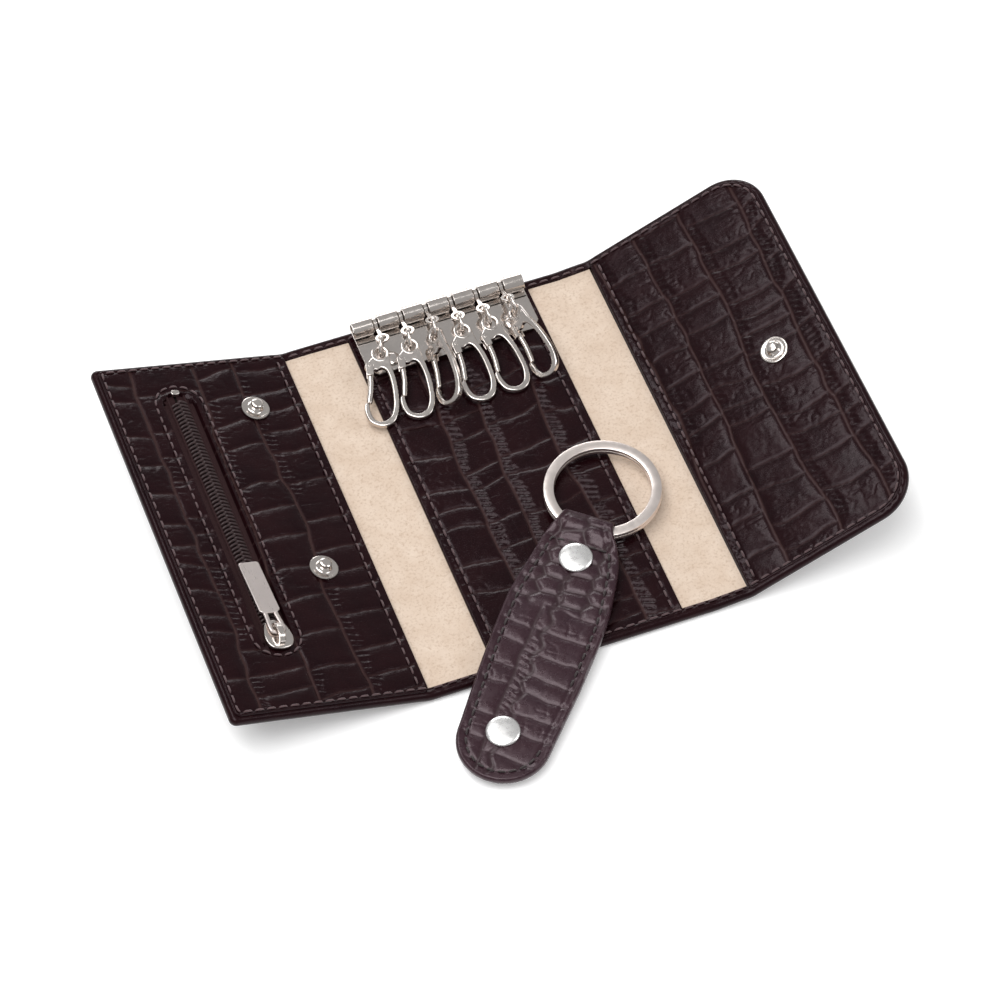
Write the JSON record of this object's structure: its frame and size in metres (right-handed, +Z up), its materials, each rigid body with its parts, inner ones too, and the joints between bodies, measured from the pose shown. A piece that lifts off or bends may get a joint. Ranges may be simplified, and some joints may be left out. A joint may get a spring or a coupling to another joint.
{
  "type": "key organiser",
  "caption": "Folding leather key case with snap hooks on a rail, a zip pocket, a snap flap and a detachable key fob with a split ring.",
  "frame": {"origin": "on the underside of the outer leather, at the middle of the centre panel, which lies flat on the table", "axes": "+X across the open panels towards the flap with the press stud, +Y along the case towards the rail of hooks, +Z up from the table"},
  "size_m": [0.1744, 0.1396, 0.0236],
  "materials": {
    "leather": "dark brown glossy leather pressed with a crocodile scale grain",
    "suede": "matt cream suede",
    "lining_cloth": "matt dark brown lining cloth",
    "zip_cloth": "dark brown woven zip tape and coil",
    "nickel": "polished nickel",
    "satin_nickel": "satin nickel"
  },
  "bodies": {
    "centre": {"cover_centre": "leather", "lining_centre": "suede", "centre_panel": "leather", "key_bar": "nickel", "hanger_rod": "nickel", "bar_rivet_left": "nickel", "bar_rivet_right": "nickel"},
    "left_spine": {"cover_left_spine": "leather", "lining_left_spine": "suede"},
    "left_panel": {"cover_left": "leather", "pocket_lining": "lining_cloth", "pocket_panel": "leather", "zip_tape_inner": "zip_cloth", "zip_tape_outer": "zip_cloth", "zip_coil_inner": "zip_cloth", "zip_coil_outer": "zip_cloth", "stud_upper": "nickel", "stud_lower": "nickel", "closing_socket": "nickel"},
    "zip_slider": {"zip_slider": "nickel"},
    "zip_pull": {"zip_pull": "nickel"},
    "right_spine": {"cover_right_spine": "leather", "lining_right_spine": "suede"},
    "right_flap": {"cover_right": "leather", "lining_right": "lining_cloth", "right_panel": "leather", "flap_stud": "nickel", "flap_cap": "nickel"},
    "hanger_1": {"hanger_1": "nickel"},
    "hook_1": {"link_1": "nickel", "hook_1": "nickel"},
    "gate_1": {"gate_1": "nickel"},
    "hanger_2": {"hanger_2": "nickel"},
    "hook_2": {"link_2": "nickel", "hook_2": "nickel"},
    "gate_2": {"gate_2": "nickel"},
    "hanger_3": {"hanger_3": "nickel"},
    "hook_3": {"link_3": "nickel", "hook_3": "nickel"},
    "gate_3": {"gate_3": "nickel"},
    "hanger_4": {"hanger_4": "nickel"},
    "hook_4": {"link_4": "nickel", "hook_4": "nickel"},
    "gate_4": {"gate_4": "nickel"},
    "hanger_5": {"hanger_5": "nickel"},
    "hook_5": {"link_5": "nickel", "hook_5": "nickel"},
    "gate_5": {"gate_5": "nickel"},
    "hanger_6": {"hanger_6": "nickel"},
    "hook_6": {"link_6": "nickel", "hook_6": "nickel"},
    "gate_6": {"gate_6": "nickel"},
    "fob": {"fob_strap": "leather", "fob_cap_upper": "nickel", "fob_cap_lower": "nickel", "fob_socket_upper": "nickel", "fob_socket_lower": "nickel"},
    "fob_ring": {"fob_ring": "satin_nickel"}
  },
  "joints": [
    {"name": "left_spine_fold", "type": "hinge", "parent": "centre", "child": "left_spine", "pos_m": [-0.0316, 0, 0.0029], "axis": [0, -1, 0], "range_deg": [-90, 0]},
    {"name": "left_panel_fold", "type": "hinge", "parent": "left_spine", "child": "left_panel", "pos_m": [-0.0406, 0, 0.0029], "axis": [0, -1, 0], "range_deg": [-72.7, 13]},
    {"name": "right_spine_fold", "type": "hinge", "parent": "centre", "child": "right_spine", "pos_m": [0.0318, 0, 0.0029], "axis": [0, 1, 0], "range_deg": [-84.3, 5.7]},
    {"name": "right_flap_fold", "type": "hinge", "parent": "right_spine", "child": "right_flap", "pos_m": [0.04056, 0, 0.00377], "axis": [0, 1, 0], "range_deg": [-53.3, 16]},
    {"name": "zip_slide", "type": "slide", "parent": "left_panel", "child": "zip_slider", "axis": [0, 1, 0], "range_m": [0, 0.07]},
    {"name": "zip_pull_lift", "type": "hinge", "parent": "zip_slider", "child": "zip_pull", "pos_m": [-0.07042, -0.0326, 0.01476], "axis": [0.9548, 0, -0.2974], "range_deg": [0, 150]},
    {"name": "hanger_1_swing", "type": "hinge", "parent": "centre", "child": "hanger_1", "pos_m": [-0.01665, 0.0527, 0.0055], "axis": [-1, 0, 0], "range_deg": [0, 110]},
    {"name": "hook_1_lift", "type": "hinge", "parent": "hanger_1", "child": "hook_1", "pos_m": [-0.01777, 0.0443, 0.00718], "axis": [-0.9015, 0.4327, 0], "range_deg": [0, 25]},
    {"name": "gate_1_open", "type": "hinge", "parent": "hook_1", "child": "gate_1", "pos_m": [-0.02254, 0.03957, 0.00664], "axis": [-0.0423, -0.1578, 0.9866], "range_deg": [0, 20], "stiffness_Nm_per_rad": 0.002, "springref_deg": -20.05},
    {"name": "hanger_2_swing", "type": "hinge", "parent": "centre", "child": "hanger_2", "pos_m": [-0.00999, 0.0527, 0.0055], "axis": [-1, 0, 0], "range_deg": [0, 110]},
    {"name": "hook_2_lift", "type": "hinge", "parent": "hanger_2", "child": "hook_2", "pos_m": [-0.01059, 0.04412, 0.00718], "axis": [-1, 0, 0], "range_deg": [0, 50]},
    {"name": "gate_2_open", "type": "hinge", "parent": "hook_2", "child": "gate_2", "pos_m": [-0.01459, 0.03886, 0.00664], "axis": [-0.0272, -0.161, 0.9866], "range_deg": [0, 20], "stiffness_Nm_per_rad": 0.002, "springref_deg": -20.05},
    {"name": "hanger_3_swing", "type": "hinge", "parent": "centre", "child": "hanger_3", "pos_m": [-0.00333, 0.0527, 0.0055], "axis": [-1, 0, 0], "range_deg": [0, 110]},
    {"name": "hook_3_lift", "type": "hinge", "parent": "hanger_3", "child": "hook_3", "pos_m": [-0.00381, 0.04444, 0.00811], "axis": [-1, 0, 0], "range_deg": [0, 50]},
    {"name": "gate_3_open", "type": "hinge", "parent": "hook_3", "child": "gate_3", "pos_m": [-0.00658, 0.03891, 0.00582], "axis": [-0.7313, 0.0371, 0.6811], "range_deg": [0, 20], "stiffness_Nm_per_rad": 0.002, "springref_deg": -20.05},
    {"name": "hanger_4_swing", "type": "hinge", "parent": "centre", "child": "hanger_4", "pos_m": [0.00333, 0.0527, 0.0055], "axis": [-1, 0, 0], "range_deg": [0, 110]},
    {"name": "hook_4_lift", "type": "hinge", "parent": "hanger_4", "child": "hook_4", "pos_m": [0.00298, 0.04407, 0.00718], "axis": [-1, 0, 0], "range_deg": [0, 50]},
    {"name": "gate_4_open", "type": "hinge", "parent": "hook_4", "child": "gate_4", "pos_m": [-0.00035, 0.03831, 0.00664], "axis": [-0.004, -0.1633, 0.9866], "range_deg": [0, 20], "stiffness_Nm_per_rad": 0.002, "springref_deg": -20.05},
    {"name": "hanger_5_swing", "type": "hinge", "parent": "centre", "child": "hanger_5", "pos_m": [0.00999, 0.0527, 0.0055], "axis": [-1, 0, 0], "range_deg": [0, 110]},
    {"name": "hook_5_lift", "type": "hinge", "parent": "hanger_5", "child": "hook_5", "pos_m": [0.00999, 0.04405, 0.00718], "axis": [-1, 0, 0], "range_deg": [0, 50]},
    {"name": "gate_5_open", "type": "hinge", "parent": "hook_5", "child": "gate_5", "pos_m": [0.00731, 0.03801, 0.00664], "axis": [0.0108, -0.163, 0.9866], "range_deg": [0, 20], "stiffness_Nm_per_rad": 0.002, "springref_deg": -20.05},
    {"name": "hanger_6_swing", "type": "hinge", "parent": "centre", "child": "hanger_6", "pos_m": [0.01665, 0.0527, 0.0055], "axis": [-1, 0, 0], "range_deg": [0, 110]},
    {"name": "hook_6_lift", "type": "hinge", "parent": "hanger_6", "child": "hook_6", "pos_m": [0.0168, 0.04439, 0.00811], "axis": [-1, 0, 0], "range_deg": [0, 50]},
    {"name": "gate_6_open", "type": "hinge", "parent": "hook_6", "child": "gate_6", "pos_m": [0.01542, 0.03838, 0.00582], "axis": [-0.72, -0.1334, 0.6811], "range_deg": [0, 20], "stiffness_Nm_per_rad": 0.002, "springref_deg": -20.05},
    {"name": "fob_lift", "type": "slide", "parent": "centre", "child": "fob", "axis": [0, 0, 1], "range_m": [0, 0.06]},
    {"name": "fob_ring_tilt", "type": "hinge", "parent": "fob", "child": "fob_ring", "pos_m": [0.00967, -0.02513, 0.00603], "axis": [0.7615, -0.6481, 0], "range_deg": [-3, 10]}
  ]
}
